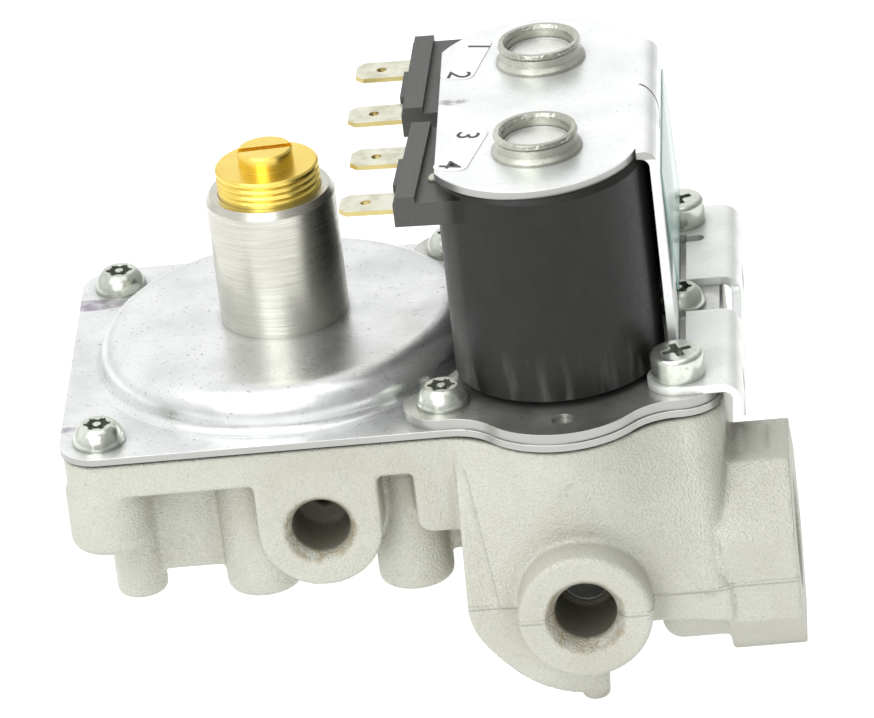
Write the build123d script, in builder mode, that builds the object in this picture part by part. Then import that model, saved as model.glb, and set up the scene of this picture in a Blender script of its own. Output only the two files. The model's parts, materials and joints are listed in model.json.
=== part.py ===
from build123d import *
from math import cos, radians, sin
import os

# Twin-solenoid gas valve with a pressure regulator: a die-cast body under a pressed
# cover, a regulator tower on the left and two solenoids in a row at the right.
#
# The row's origin is the centre of the outlet port's mouth, +X out of that port, +Z up.
# The valve is drawn from its deck: the centre of the cover's four corner screws, on the
# cover's top face. level(), front() and side() place sketches from there.

os.makedirs("parts", exist_ok=True)

# ---- driving dimensions (mm) ----
DECK = Vector(-82.5, 25.4, 28.3)        # deck centre, seen from the outlet's mouth
PORT_Y = -25.4                          # outlet axis, from the deck centre
PORT_Z = -28.3                          # outlet and inlet axes, below the deck
SCREW_X = 28.0                          # corner screws, either side of the deck centre
SCREW_Y = 28.4
END_X = 66.1                            # row of screws at the solenoid end
DECK_LEFT = -34.5
DECK_RIGHT = 72.9
DECK_HALF = 35.2
CORNER_R = 6.7
WAVE_X = 47.0                           # bulge of the deck around each solenoid
WAVE_Y = 29.1
WAVE_R = 14.8
COVER_T = 1.2
GASKET_T = 0.5
PLATE_T = 1.75                          # solenoid plate
SCREW_HOLE_R = 2.7                      # clearance holes for the screws
BODY_TOP = -COVER_T - GASKET_T

REG_X = 1.75                            # regulator axis
DOME_R = 31.0
DOME_H = 6.7
TUBE_R = 10.55
TUBE_TOP = 29.1
TUBE_FOOT_R = 8.5                       # spigot through the dome
CAP_R = 8.45
CAP_TOP = 33.5
KNOB_R = 4.52
KNOB_TOP = 36.2

COIL_X = 46.9                           # solenoid axes
COIL_Y = 17.33
COIL_R = 17.0
COIL_BASE = 3.0
COIL_TOP = 38.4
COIL_TURNS = {"rear": -2.2, "front": -3.8}   # how far each coil is turned, degrees
BLOCK_SHIFT = 1.8                       # terminal block, along Y from its coil's axis
BLOCK_HALF = 14.2
BLOCK_BASE_Z = 33.2                     # underside of the terminal block
BLOCK_T = 4.0
TAB_Z = 34.4                            # underside of the tabs
TAB_W = 6.3
TAB_T = 0.8
TAB_PITCH = 17.2
TAB_TIP = -31.7
TAB_ROOT = -12.0
GUIDE_R = 5.35
SHEET_T = 1.4                           # both brackets
REG_LIFT = 2.0
FIT = 0.05                              # radial clearance of a running fit

OCTAGON_FLATS = 34.0                    # boss around the outlet port
OCTAGON_LEFT = 70.4
BOSS_BASE = -32.0                       # underside of the lower bosses
RING_X = 48.2                           # inlet port axis


# ---- planes ----
def level(z):
    return Plane(origin=DECK + Vector(0, 0, z), x_dir=(1, 0, 0), z_dir=(0, 0, 1))


def front(y):
    return Plane(origin=DECK + Vector(0, y, 0), x_dir=(1, 0, 0), z_dir=(0, -1, 0))


def side(x):
    return Plane(origin=DECK + Vector(x, 0, 0), x_dir=(0, 1, 0), z_dir=(1, 0, 0))


def place(part, label):
    part.label = label
    export_step(part, "parts/" + label + ".step")


def post(radius, x, y, z_low, z_high, mode=Mode.ADD):
    """Upright round post or hole."""
    with BuildSketch(level(z_low)) as disc:
        with Locations((x, y)):
            Circle(radius)
    extrude(disc.sketch, amount=z_high - z_low, mode=mode)


def bore_y(radius, x, z, y_front, y_back, mode=Mode.SUBTRACT):
    """Round hole or boss along Y."""
    with BuildSketch(front(y_back)) as disc:
        with Locations((x, z)):
            Circle(radius)
    extrude(disc.sketch, amount=y_back - y_front, mode=mode)


def bore_x(radius, y, z, x_low, x_high, mode=Mode.SUBTRACT):
    """Round hole or boss along X."""
    with BuildSketch(side(x_low)) as disc:
        with Locations((y, z)):
            Circle(radius)
    extrude(disc.sketch, amount=x_high - x_low, mode=mode)


def turned(points, x, y):
    """Solid turned about the upright axis at x, y from (radius, height) corners."""
    with BuildPart() as body:
        with BuildSketch(front(y)):
            with Locations((x, 0)):
                with BuildLine():
                    Polyline(*[(x + r, z) for r, z in points], close=True)
                make_face()
        revolve(axis=Axis(DECK + Vector(x, y, 0), (0, 0, 1)))
    return body.part


def foot(radius, x, y, z_low, z_high, corner):
    """Upright round boss whose lower edge is rounded."""
    with BuildSketch(front(y)) as half:
        with BuildLine():
            Polyline((x, z_low), (x, z_high), (x + radius, z_high), (x + radius, z_low + corner))
            RadiusArc((x + radius, z_low + corner), (x + radius - corner, z_low), corner)
            Line((x + radius - corner, z_low), (x, z_low))
        make_face()
    revolve(half.sketch, axis=Axis(DECK + Vector(x, y, 0), (0, 0, 1)))


def rims(part, radius, axis, where):
    """Circular edges of one radius that lie across an axis at one place."""
    circles = part.edges().filter_by(GeomType.CIRCLE)
    return [e for e in circles if abs(e.radius - radius) < 0.01
            and abs(e.arc_center.dot(axis) - where) < 0.01]


def deck_outline(inset=0.0):
    """Rounded rectangle with a bulge around each solenoid."""
    with BuildSketch() as outline:
        with Locations(((DECK_LEFT + DECK_RIGHT) / 2, 0)):
            RectangleRounded(DECK_RIGHT - DECK_LEFT, 2 * DECK_HALF, CORNER_R)
        with Locations((WAVE_X, WAVE_Y), (WAVE_X, -WAVE_Y)):
            Circle(WAVE_R)
        waists = [v for v in outline.vertices()
                  if abs(abs(v.Y) - DECK_HALF) < 0.01 and abs(v.X - WAVE_X) < WAVE_R]
        fillet(waists, 9.0)
        if inset:
            offset(amount=-inset)
    return outline.sketch


corner_screws = [(x, y) for x in (-SCREW_X, SCREW_X) for y in (-SCREW_Y, SCREW_Y)]
end_screws = [(END_X, -SCREW_Y), (END_X, SCREW_Y)]
deck_holes = corner_screws + end_screws + [(END_X, 0)]
coil_axes = {"front": (COIL_X, -COIL_Y), "rear": (COIL_X, COIL_Y)}

# ---- body: the casting with its ports, chambers and passages ----
BODY_EDGE = 0.4                         # the cover overhangs the casting
FLANGE_BASE = -7.7
BLOCK_LEFT = 29.1
WALL_Y = -44.0                          # flat front wall at the level of the ports
WALL_LEFT = 34.2                        # its lower left corner
WALL_RIGHT = 71.4
WALL_CORNER = 2.5
BARREL_LEFT = 59.5
BARREL_R = 15.8
BARREL_CORNER = 3.2
LOWER_Y = -43.3                         # front of the casting below the ports' axes
BLOCK_BASE = -24.0                      # underside of the block behind the ports
SLAB_BASE = -33.4
RING_FACE = -49.8
RING_R = 10.8
INLET_MOUTH_R = 6.5
INLET_R = 5.0
TAP_X = 6.4
TAP_Z = -16.1
TAP_BOSS_R = 10.0
TAP_MOUTH_R = 5.9
TAP_R = 4.75
OUTLET_R = 9.1
OUTLET_END = 66.0                       # bottom of the outlet's thread
CROSS_X = 62.0                          # passage across, from the rear seat to the outlet
CROSS_Z = -20.0
PASSAGE_R = 3.5
BOSS_FOOT = -18.3                       # underside of the corner screw bosses
CHAMBER_R = 12.0
CHAMBER_FLOOR = -9.0
SEAT_TOP = -5.5
DIAPHRAGM_R = 31.0
SEAT_INSERT_R = 5.0
PLUG_R = 12.0
REG_SEAT_BASE = -9.5
PLUG_TOP = -25.0


def mouth(x, z, y, mouth_r, bore_r, depth):
    """Cone that opens a bore along Y at its mouth."""
    with BuildSketch(level(z)) as cone:
        with BuildLine():
            Polyline((x, y), (x + mouth_r, y), (x + bore_r, y + depth), (x, y + depth),
                     close=True)
        make_face()
    revolve(cone.sketch, axis=Axis(DECK + Vector(x, 0, z), (0, 1, 0)), mode=Mode.SUBTRACT)


outlet_axis = Axis(DECK + Vector(0, PORT_Y, PORT_Z), (1, 0, 0))

# outlet boss: octagon for a spanner, its corners turned off at both ends
with BuildPart() as octagon:
    with BuildSketch(side(OCTAGON_LEFT)):
        with Locations((PORT_Y, PORT_Z)):
            RegularPolygon(OCTAGON_FLATS / 2, 8, major_radius=False, rotation=22.5)
    extrude(amount=-DECK.X - OCTAGON_LEFT)
    for end, lean in ((OCTAGON_LEFT, 1), (-DECK.X, -1)):
        with BuildSketch(front(PORT_Y)) as bevel:
            with Locations((end, PORT_Z)):
                with BuildLine():
                    Polyline((lean * 1.9, 18.5), (-lean * 0.1, 16.3), (-lean * 0.1, 20),
                             (lean * 1.9, 20), close=True)
                make_face()
        revolve(bevel.sketch, axis=outlet_axis, mode=Mode.SUBTRACT)

with BuildPart() as valve_body:
    # flange under the cover
    with BuildSketch(level(FLANGE_BASE)):
        add(deck_outline(BODY_EDGE))
    extrude(amount=BODY_TOP - FLANGE_BASE)
    # solenoid block: the waved edge of the deck grows into a flat wall at the ports
    with BuildSketch(level(BLOCK_BASE)):
        add(deck_outline(BODY_EDGE))
        with Locations((BLOCK_LEFT - 100, 0)):
            Rectangle(200, 200, mode=Mode.SUBTRACT)
    extrude(amount=BODY_TOP - BLOCK_BASE)
    edge_x = DECK_RIGHT - BODY_EDGE
    edge_y = DECK_HALF - BODY_EDGE
    with BuildSketch(level(BODY_TOP)):
        with BuildLine():
            Spline((BLOCK_LEFT, -edge_y), (36.6, -39.1), (WAVE_X, -WAVE_Y - WAVE_R + BODY_EDGE),
                   (57.4, -39.1), (edge_x - CORNER_R, -edge_y))
            RadiusArc((edge_x - CORNER_R, -edge_y), (edge_x, -edge_y + CORNER_R), -CORNER_R)
            Polyline((edge_x, -edge_y + CORNER_R), (edge_x, 0), (BLOCK_LEFT, 0),
                     (BLOCK_LEFT, -edge_y))
        make_face()
    with BuildSketch(level(PORT_Z)):
        with BuildLine():
            Line((WALL_LEFT, WALL_Y), (WALL_RIGHT - WALL_CORNER, WALL_Y))
            RadiusArc((WALL_RIGHT - WALL_CORNER, WALL_Y), (WALL_RIGHT, WALL_Y + WALL_CORNER),
                      -WALL_CORNER)
            Polyline((WALL_RIGHT, WALL_Y + WALL_CORNER), (WALL_RIGHT, 0), (WALL_LEFT, 0),
                     (WALL_LEFT, WALL_Y))
        make_face()
    loft(ruled=True)
    # left flank of the block, set back from the wall
    with BuildSketch(side(BLOCK_LEFT)):
        with BuildLine():
            Polyline((-edge_y, -3.0), (LOWER_Y, PORT_Z), (0, PORT_Z), (0, -3.0), close=True)
        make_face()
    extrude(amount=16.0)
    # lower front: rounded below the inlet, stepped up towards the outlet
    with BuildSketch(front(-8.0)):
        with BuildLine():
            Spline((BLOCK_LEFT, PORT_Z), (30.4, -34.0), (33.4, -38.1), (37.4, -42.0), (42.6, -44.7),
                   (RING_X, -45.5))
            Polyline((RING_X, -45.5), (50.4, -45.3), (50.4, SLAB_BASE), (60.0, SLAB_BASE),
                     (WALL_RIGHT, -34.6), (WALL_RIGHT, PORT_Z), (BLOCK_LEFT, PORT_Z))
        make_face()
    extrude(amount=-LOWER_Y - 8.0)
    # barrel under the outlet passage, its left end rounded
    with BuildSketch(front(PORT_Y)) as barrel:
        with BuildLine():
            Polyline((BARREL_LEFT, PORT_Z), (BARREL_LEFT, PORT_Z + BARREL_R - BARREL_CORNER))
            RadiusArc((BARREL_LEFT, PORT_Z + BARREL_R - BARREL_CORNER),
                      (BARREL_LEFT + BARREL_CORNER, PORT_Z + BARREL_R), BARREL_CORNER)
            Polyline((BARREL_LEFT + BARREL_CORNER, PORT_Z + BARREL_R),
                     (WALL_RIGHT, PORT_Z + BARREL_R), (WALL_RIGHT, PORT_Z), (BARREL_LEFT, PORT_Z))
        make_face()
    revolve(barrel.sketch, axis=outlet_axis)
    add(octagon.part)
    # blank sunk panel on top of the octagon
    with BuildSketch(level(PORT_Z + OCTAGON_FLATS / 2 - 0.5)):
        with Locations((76.8, -24.6)):
            Rectangle(4.7, 9.0)
    extrude(amount=1.0, mode=Mode.SUBTRACT)
    # inlet ring and pressure tap
    bore_y(RING_R, RING_X, PORT_Z, RING_FACE, WALL_Y + 2, mode=Mode.ADD)
    with BuildSketch(front(-12.0)):
        with Locations((TAP_X, TAP_Z)):
            Circle(TAP_BOSS_R)
        with Locations((TAP_X, (TAP_Z + FLANGE_BASE) / 2)):
            Rectangle(2 * TAP_BOSS_R, FLANGE_BASE - TAP_Z)
    extrude(amount=DECK_HALF - 12.0)
    # regulator's lower housing, screw bosses, feet and webs under the flange
    post(21.0, REG_X, 0, -29.0, FLANGE_BASE)
    for x, y in corner_screws:
        foot(6.6, x, y, BOSS_FOOT, FLANGE_BASE, 2.0)
    for end in (-1, 1):
        foot(4.2, -25.4, end * 18.6, BOSS_BASE - 0.5, FLANGE_BASE, 1.0)
        foot(6.2, -5.0, end * 20.5, BOSS_BASE, FLANGE_BASE, 1.2)
        foot(6.2, 20.0, end * 22.6, BOSS_BASE, FLANGE_BASE, 1.2)
        with BuildSketch(level(-28.5)):
            with Locations((-14.6, end * 19.0)):
                Rectangle(20.0, 3.0)
        extrude(amount=28.5 + FLANGE_BASE)
        with BuildSketch(level(-27.3)):
            with Locations((26.0, end * 22.6)):
                Rectangle(10.0, 3.0)
        extrude(amount=27.3 + FLANGE_BASE)
        # plate that joins the corner boss to the block
        with BuildSketch(front(end * (edge_y - 3.2))):
            with Locations((26.6, BOSS_FOOT + 6.5)):
                RectangleRounded(9.0, 13.0, 2.4)
        extrude(amount=3.2, both=True)
    # nub under the inlet ring
    foot(2.3, 48.1, -41.0, -46.9, PORT_Z - 10, 0.6)

    # threads and passages
    bore_x(OUTLET_R, PORT_Y, PORT_Z, OUTLET_END, 90.0)
    bore_x(6.5, PORT_Y, PORT_Z, 58.0, OUTLET_END)
    bore_y(INLET_R, RING_X, PORT_Z, -60.0, -36.0)
    bore_y(4.0, RING_X, PORT_Z, -60.0, -13.3)
    mouth(RING_X, PORT_Z, RING_FACE, INLET_MOUTH_R, INLET_R, 2.5)
    bore_y(TAP_R, TAP_X, TAP_Z, -60.0, -23.5)
    bore_y(1.5, TAP_X, TAP_Z, -60.0, -8.0)
    mouth(TAP_X, TAP_Z, -DECK_HALF, TAP_MOUTH_R, TAP_R, 1.6)
    for x, y in deck_holes:
        post(2.45, x, y, -15.0, BODY_TOP, mode=Mode.SUBTRACT)
    # solenoid chambers, each with a raised seat over its outlet
    for x, y in coil_axes.values():
        post(CHAMBER_R, x, y, CHAMBER_FLOOR, BODY_TOP, mode=Mode.SUBTRACT)
        post(4.8, x, y, CHAMBER_FLOOR, SEAT_TOP)
    post(PASSAGE_R, *coil_axes["front"], PORT_Z, SEAT_TOP, mode=Mode.SUBTRACT)
    post(PASSAGE_R, *coil_axes["rear"], CROSS_Z, SEAT_TOP, mode=Mode.SUBTRACT)
    # rear seat to the outlet
    bore_x(PASSAGE_R, COIL_Y, CROSS_Z, COIL_X, CROSS_X)
    bore_y(PASSAGE_R, CROSS_X, CROSS_Z, PORT_Y, COIL_Y + 3.0)
    post(PASSAGE_R, CROSS_X, PORT_Y, PORT_Z, CROSS_Z, mode=Mode.SUBTRACT)
    # front chamber to the regulator's lower chamber, and its upper one to the rear
    post(3.0, 38.6, -10.4, -20.0, CHAMBER_FLOOR, mode=Mode.SUBTRACT)
    bore_x(3.0, -7.0, -17.5, 5.0, 38.6)
    bore_x(1.6, 10.0, -3.6, 20.0, 40.0)
    fillet(rims(valve_body, RING_R, Vector(0, 1, 0), DECK.Y + RING_FACE), 0.8)
    # regulator chambers and seat
    post(27.0, REG_X, 0, SEAT_TOP, BODY_TOP, mode=Mode.SUBTRACT)
    post(SEAT_INSERT_R, REG_X, 0, -11.0, SEAT_TOP, mode=Mode.SUBTRACT)
    post(11.0, REG_X, 0, PLUG_TOP, REG_SEAT_BASE, mode=Mode.SUBTRACT)
    post(PLUG_R + FIT, REG_X, 0, -29.0, PLUG_TOP, mode=Mode.SUBTRACT)

place(valve_body.part, "valve_body")

# ---- sealing layer between the cover and the casting ----
with BuildPart() as cover_gasket:
    with BuildSketch(level(BODY_TOP)):
        add(deck_outline(0.8))
        with Locations((REG_X, 0)):
            Circle(DIAPHRAGM_R + 0.2, mode=Mode.SUBTRACT)
        with Locations(*coil_axes.values()):
            Circle(CHAMBER_R, mode=Mode.SUBTRACT)
        with Locations(*deck_holes):
            Circle(SCREW_HOLE_R, mode=Mode.SUBTRACT)
    extrude(amount=GASKET_T)
place(cover_gasket.part, "cover_gasket")

# ---- cover: one pressing, a flat plate with the regulator's dome ----
SHOULDER_R = 5.0
FLARE_R = 1.5
with BuildPart() as cover_plate:
    with BuildSketch(level(-COVER_T)):
        add(deck_outline())
    extrude(amount=COVER_T)
    post(DOME_R - 1, REG_X, 0, -COVER_T, 0, mode=Mode.SUBTRACT)
    with BuildSketch(front(0)):
        with BuildLine():
            top = DOME_H
            low = DOME_H - COVER_T
            wall = REG_X + DOME_R
            inner = wall - COVER_T
            Polyline((REG_X, top), (wall - SHOULDER_R, top))
            RadiusArc((wall - SHOULDER_R, top), (wall, top - SHOULDER_R), SHOULDER_R)
            RadiusArc((wall, top - SHOULDER_R), (wall + FLARE_R, 0), -1.75)
            Polyline((wall + FLARE_R, 0), (wall + FLARE_R, -COVER_T), (inner, -COVER_T),
                     (inner, low - 3.8))
            RadiusArc((inner, low - 3.8), (inner - 3.8, low), -3.8)
            Polyline((inner - 3.8, low), (REG_X, low), (REG_X, top))
        make_face()
    revolve(axis=Axis(DECK + Vector(REG_X, 0, 0), (0, 0, 1)))
    post(TUBE_FOOT_R + FIT, REG_X, 0, 0, DOME_H, mode=Mode.SUBTRACT)
    for x, y in deck_holes:
        post(SCREW_HOLE_R, x, y, -COVER_T, 0, mode=Mode.SUBTRACT)
    for x, y in coil_axes.values():
        post(9.0, x, y, -COVER_T, 0, mode=Mode.SUBTRACT)
place(cover_plate.part, "cover_plate")

# ---- solenoid plate: carries both guide tubes ----
with BuildPart() as solenoid_plate:
    with BuildSketch(level(0)):
        add(deck_outline(0.3))
        with Locations((SCREW_X - 100, 0)):
            Rectangle(200, 200, mode=Mode.SUBTRACT)
        with Locations((SCREW_X, SCREW_Y), (SCREW_X, -SCREW_Y)):
            Circle(6.5)
        with Locations((REG_X, 0)):
            Circle(DOME_R + FLARE_R + 0.4, mode=Mode.SUBTRACT)
        with Locations(*coil_axes.values()):
            Circle(GUIDE_R + FIT, mode=Mode.SUBTRACT)
        with Locations((SCREW_X, SCREW_Y), (SCREW_X, -SCREW_Y), (END_X, 0), *end_screws):
            Circle(SCREW_HOLE_R, mode=Mode.SUBTRACT)
    extrude(amount=PLATE_T)
    for end in (-1, 1):
        post(1.75, 47.4, end * 38.3, PLATE_T - 0.8, PLATE_T, mode=Mode.SUBTRACT)
place(solenoid_plate.part, "solenoid_plate")

# ---- regulator: tower, cap, adjuster, spring, diaphragm and poppet ----
tube = turned([(7.8, 5.0), (TUBE_FOOT_R, 5.0), (TUBE_FOOT_R, DOME_H), (TUBE_R, DOME_H),
               (TUBE_R, TUBE_TOP - 1.2), (TUBE_R - 0.7, TUBE_TOP), (CAP_R + FIT, TUBE_TOP),
               (CAP_R + FIT, 11.5), (7.8, 10.8)], REG_X, 0)
place(tube, "regulator_tube")

groove = 0.42
cap_profile = [(0, 22.6), (CAP_R - 1.6, 22.6), (CAP_R - 1.6, 24.6), (CAP_R, 24.6)]
for z in (30.1, 31.2, 32.3):
    cap_profile += [(CAP_R, z - groove), (CAP_R - groove, z), (CAP_R, z + groove)]
cap_profile += [(CAP_R, CAP_TOP - 0.3), (CAP_R - 0.3, CAP_TOP), (KNOB_R, CAP_TOP),
                (KNOB_R, KNOB_TOP - 0.3), (KNOB_R - 0.3, KNOB_TOP), (0, KNOB_TOP)]
with BuildPart() as seal_cap:
    add(turned(cap_profile, REG_X, 0))
    with BuildSketch(level(KNOB_TOP - 1.4)):
        with Locations((REG_X, 0)):
            Rectangle(2 * KNOB_R + 2, 1.5, rotation=4)
    extrude(amount=3, mode=Mode.SUBTRACT)
place(seal_cap.part, "seal_cap")

with BuildPart() as cap_o_ring:
    with BuildSketch(front(0)):
        with Locations((REG_X + CAP_R - 0.85, 23.6)):
            Circle(0.74)
    revolve(axis=Axis(DECK + Vector(REG_X, 0, 0), (0, 0, 1)))
place(cap_o_ring.part, "cap_o_ring")

ADJ_LOW = 15.0
ADJ_HIGH = 19.5
with BuildPart() as adjusting_screw:
    post(CAP_R - 0.03, REG_X, 0, ADJ_LOW, ADJ_HIGH)
    post(4.5, REG_X, 0, ADJ_HIGH - 2.4, ADJ_HIGH, mode=Mode.SUBTRACT)
    post(1.2, REG_X, 0, ADJ_LOW, ADJ_HIGH, mode=Mode.SUBTRACT)
    with BuildSketch(level(ADJ_HIGH - 2.0)):
        with Locations((REG_X, 0)):
            Rectangle(2 * CAP_R + 1, 1.6)
    extrude(amount=4, mode=Mode.SUBTRACT)
place(adjusting_screw.part, "adjusting_screw")

SEAT_T = 1.0
upper_seat = turned([(1.5, ADJ_LOW - SEAT_T), (7.3, ADJ_LOW - SEAT_T), (7.3, ADJ_LOW), (1.5, ADJ_LOW)],
                    REG_X, 0)
place(upper_seat, "upper_spring_seat")

PAN_R = 17.0
PAN_TOP = -0.2
SPRING_TOP = ADJ_LOW - SEAT_T


def coil_spring(mean_r, wire_r, z_low, z_high, turns, x, y):
    """Helical compression spring between two heights."""
    rise = z_high - z_low - 2 * wire_r
    path = Helix(pitch=rise / turns, height=rise, radius=mean_r,
                 center=DECK + Vector(x, y, z_low + wire_r))
    with BuildPart() as spring:
        with BuildSketch(Plane(path @ 0, z_dir=path % 0)):
            Circle(wire_r)
        sweep(path=path, is_frenet=True)
    return spring.part


place(coil_spring(5.6, 0.7, PAN_TOP + 0.02, SPRING_TOP - 0.02, 5, REG_X, 0), "regulator_spring")

upper_pan = turned([(0.9, -COVER_T), (PAN_R, -COVER_T), (PAN_R + 0.6, 0.8), (PAN_R - 0.3, 0.8),
                    (PAN_R - 0.8, PAN_TOP), (7.0, PAN_TOP), (7.0, 0.8), (6.6, 0.8), (6.6, PAN_TOP),
                    (0.9, PAN_TOP)], REG_X, 0)
place(upper_pan, "diaphragm_pan")

with BuildPart() as diaphragm:
    with BuildSketch(front(0)):
        with BuildLine():
            mid = REG_X + 22.5
            rise = 2.6
            Polyline((REG_X + 0.9, BODY_TOP), (mid - 4, BODY_TOP))
            ThreePointArc((mid - 4, BODY_TOP), (mid, BODY_TOP + rise), (mid + 4, BODY_TOP))
            Polyline((mid + 4, BODY_TOP), (REG_X + DIAPHRAGM_R, BODY_TOP),
                     (REG_X + DIAPHRAGM_R, -COVER_T), (mid + 4.2, -COVER_T))
            ThreePointArc((mid + 4.2, -COVER_T), (mid, -COVER_T + rise), (mid - 4.2, -COVER_T))
            Polyline((mid - 4.2, -COVER_T), (REG_X + 0.9, -COVER_T), (REG_X + 0.9, BODY_TOP))
        make_face()
    revolve(axis=Axis(DECK + Vector(REG_X, 0, 0), (0, 0, 1)))
place(diaphragm.part, "regulator_diaphragm")

POPPET_TOP = REG_SEAT_BASE - REG_LIFT
poppet = turned([(0, -14.0), (4.6, -14.0), (4.6, POPPET_TOP - 0.8), (1.6, POPPET_TOP - 0.8),
                 (1.6, BODY_TOP - 1.2), (PAN_R, BODY_TOP - 1.2), (PAN_R, BODY_TOP),
                 (0.85, BODY_TOP), (0.85, PAN_TOP + 0.4), (0, PAN_TOP + 0.4)], REG_X, 0)
place(poppet, "regulator_poppet")
place(turned([(1.65, POPPET_TOP - 0.8), (4.6, POPPET_TOP - 0.8), (4.6, POPPET_TOP),
              (1.65, POPPET_TOP)], REG_X, 0), "poppet_seal")
place(turned([(2.9, REG_SEAT_BASE), (4.1, REG_SEAT_BASE), (SEAT_INSERT_R, -8.8),
              (SEAT_INSERT_R, SEAT_TOP), (2.9, SEAT_TOP)], REG_X, 0), "regulator_seat")

with BuildPart() as bottom_plug:
    post(PLUG_R, REG_X, 0, -31.0, PLUG_TOP)
    post(PLUG_R + 1.6, REG_X, 0, -31.0, -29.0)
    with BuildSketch(level(-31.0)):
        with Locations((REG_X, 0)):
            RegularPolygon(4.0, 6)
    extrude(amount=3.0, mode=Mode.SUBTRACT)
    with BuildSketch(front(0)):
        with Locations((REG_X + PLUG_R, -26.6)):
            Rectangle(2.0, 1.6)
    revolve(axis=Axis(DECK + Vector(REG_X, 0, 0), (0, 0, 1)), mode=Mode.SUBTRACT)
place(bottom_plug.part, "bottom_plug")
with BuildPart() as plug_o_ring:
    with BuildSketch(front(0)):
        with Locations((REG_X + PLUG_R - 0.45, -26.6)):
            Ellipse(0.49, 0.7)
    revolve(axis=Axis(DECK + Vector(REG_X, 0, 0), (0, 0, 1)))
place(plug_o_ring.part, "plug_o_ring")

# ---- solenoids: one set of pieces on each axis ----
GUIDE_TOP = 41.3
GUIDE_WALL = 0.5
CORE_BASE = 27.0
COLLAR_BASE = COIL_TOP + SHEET_T
COLLAR_RIM = 43.3
PLUNGER_TOP = 24.5
PLUNGER_BASE = SEAT_TOP + 2.0
SPRING_PIT = 16.0

for name, (x, y) in coil_axes.items():
    turn = COIL_TURNS[name]
    coil_plane = Plane(DECK + Vector(x, y, COIL_BASE),
                       x_dir=(cos(radians(turn)), sin(radians(turn)), 0), z_dir=(0, 0, 1))
    with BuildPart() as coil:
        with BuildSketch(coil_plane):
            Circle(COIL_R)
        with BuildSketch(coil_plane.offset(COIL_TOP - COIL_BASE)):
            Circle(COIL_R - 0.1)
        loft()
        chamfer(coil.edges().sort_by(Axis.Z)[-1], 0.7)
        # terminal block, with a ridge along it and a lug between the tabs
        with BuildSketch(coil_plane.offset(BLOCK_BASE_Z - COIL_BASE)):
            with Locations((-13.6, BLOCK_SHIFT)):
                Rectangle(17.6, 2 * BLOCK_HALF)
        extrude(amount=BLOCK_T)
        with BuildSketch(coil_plane.offset(BLOCK_BASE_Z + BLOCK_T - COIL_BASE)):
            with Locations((-20.4, BLOCK_SHIFT)):
                Rectangle(3.2, 2 * BLOCK_HALF)
        extrude(amount=1.1)
        with BuildSketch(coil_plane.offset(BLOCK_BASE_Z + 0.4 - COIL_BASE)):
            with Locations((-22.8, BLOCK_SHIFT)):
                Rectangle(1.2, TAB_PITCH - TAB_W - 1.0)
        extrude(amount=2.6)
        with BuildSketch(coil_plane):
            Circle(GUIDE_R + 0.25)
        extrude(amount=COIL_TOP - COIL_BASE, mode=Mode.SUBTRACT)
        with BuildSketch(coil_plane.offset(TAB_Z - COIL_BASE)):
            with Locations((-17.4, BLOCK_SHIFT - TAB_PITCH / 2),
                           (-17.4, BLOCK_SHIFT + TAB_PITCH / 2)):
                Rectangle(10.8, TAB_W)
        extrude(amount=TAB_T, mode=Mode.SUBTRACT)
    place(coil.part, name + "_coil")

    with BuildPart() as tabs:
        with BuildSketch(coil_plane.offset(TAB_Z - COIL_BASE)):
            for step in (-0.5, 0.5):
                with Locations(((TAB_TIP + TAB_ROOT) / 2, BLOCK_SHIFT + step * TAB_PITCH)):
                    Rectangle(TAB_ROOT - TAB_TIP, TAB_W)
            tips = [v for v in vertices() if v.X < TAB_TIP + 0.1]
            chamfer(tips, 1.3)
            with Locations((-27.5, BLOCK_SHIFT - TAB_PITCH / 2),
                           (-27.5, BLOCK_SHIFT + TAB_PITCH / 2)):
                Circle(0.85, mode=Mode.SUBTRACT)
        extrude(amount=TAB_T)
    place(tabs.part, name + "_terminals")

    inner = GUIDE_R - GUIDE_WALL
    place(turned([(inner, 0), (GUIDE_R, 0), (GUIDE_R, GUIDE_TOP), (inner, GUIDE_TOP)], x, y),
          name + "_guide_tube")
    place(turned([(0, CORE_BASE), (inner - 0.03, CORE_BASE), (inner - 0.03, GUIDE_TOP - 0.1),
                  (0, GUIDE_TOP - 0.1)], x, y), name + "_fixed_core")
    place(turned([(GUIDE_R + FIT, COLLAR_BASE), (7.4, COLLAR_BASE), (7.3, 40.3), (6.6, 40.9),
                  (6.55, 42.2), (6.83, 42.7), (6.6, COLLAR_RIM), (5.9, COLLAR_RIM),
                  (5.45, COLLAR_RIM - 0.5),
                  (GUIDE_R + FIT, 42.0)], x, y), name + "_retaining_collar")
    plunger_r = inner - FIT
    place(turned([(0, PLUNGER_BASE), (5.6, PLUNGER_BASE), (5.6, PLUNGER_BASE + 0.8),
                  (plunger_r, PLUNGER_BASE + 0.8), (plunger_r, PLUNGER_TOP), (2.5, PLUNGER_TOP),
                  (2.5, SPRING_PIT), (0, SPRING_PIT)], x, y), name + "_plunger")
    place(turned([(0, SEAT_TOP), (5.6, SEAT_TOP), (5.6, PLUNGER_BASE), (0, PLUNGER_BASE)], x, y),
          name + "_plunger_seal")
    place(coil_spring(1.9, 0.3, SPRING_PIT + 0.02, CORE_BASE - 0.02, 8, x, y),
          name + "_return_spring")
    place(turned([(8.0, PLATE_T), (10.5, PLATE_T), (10.5, COIL_BASE), (8.0, COIL_BASE)], x, y),
          name + "_coil_washer")

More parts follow.
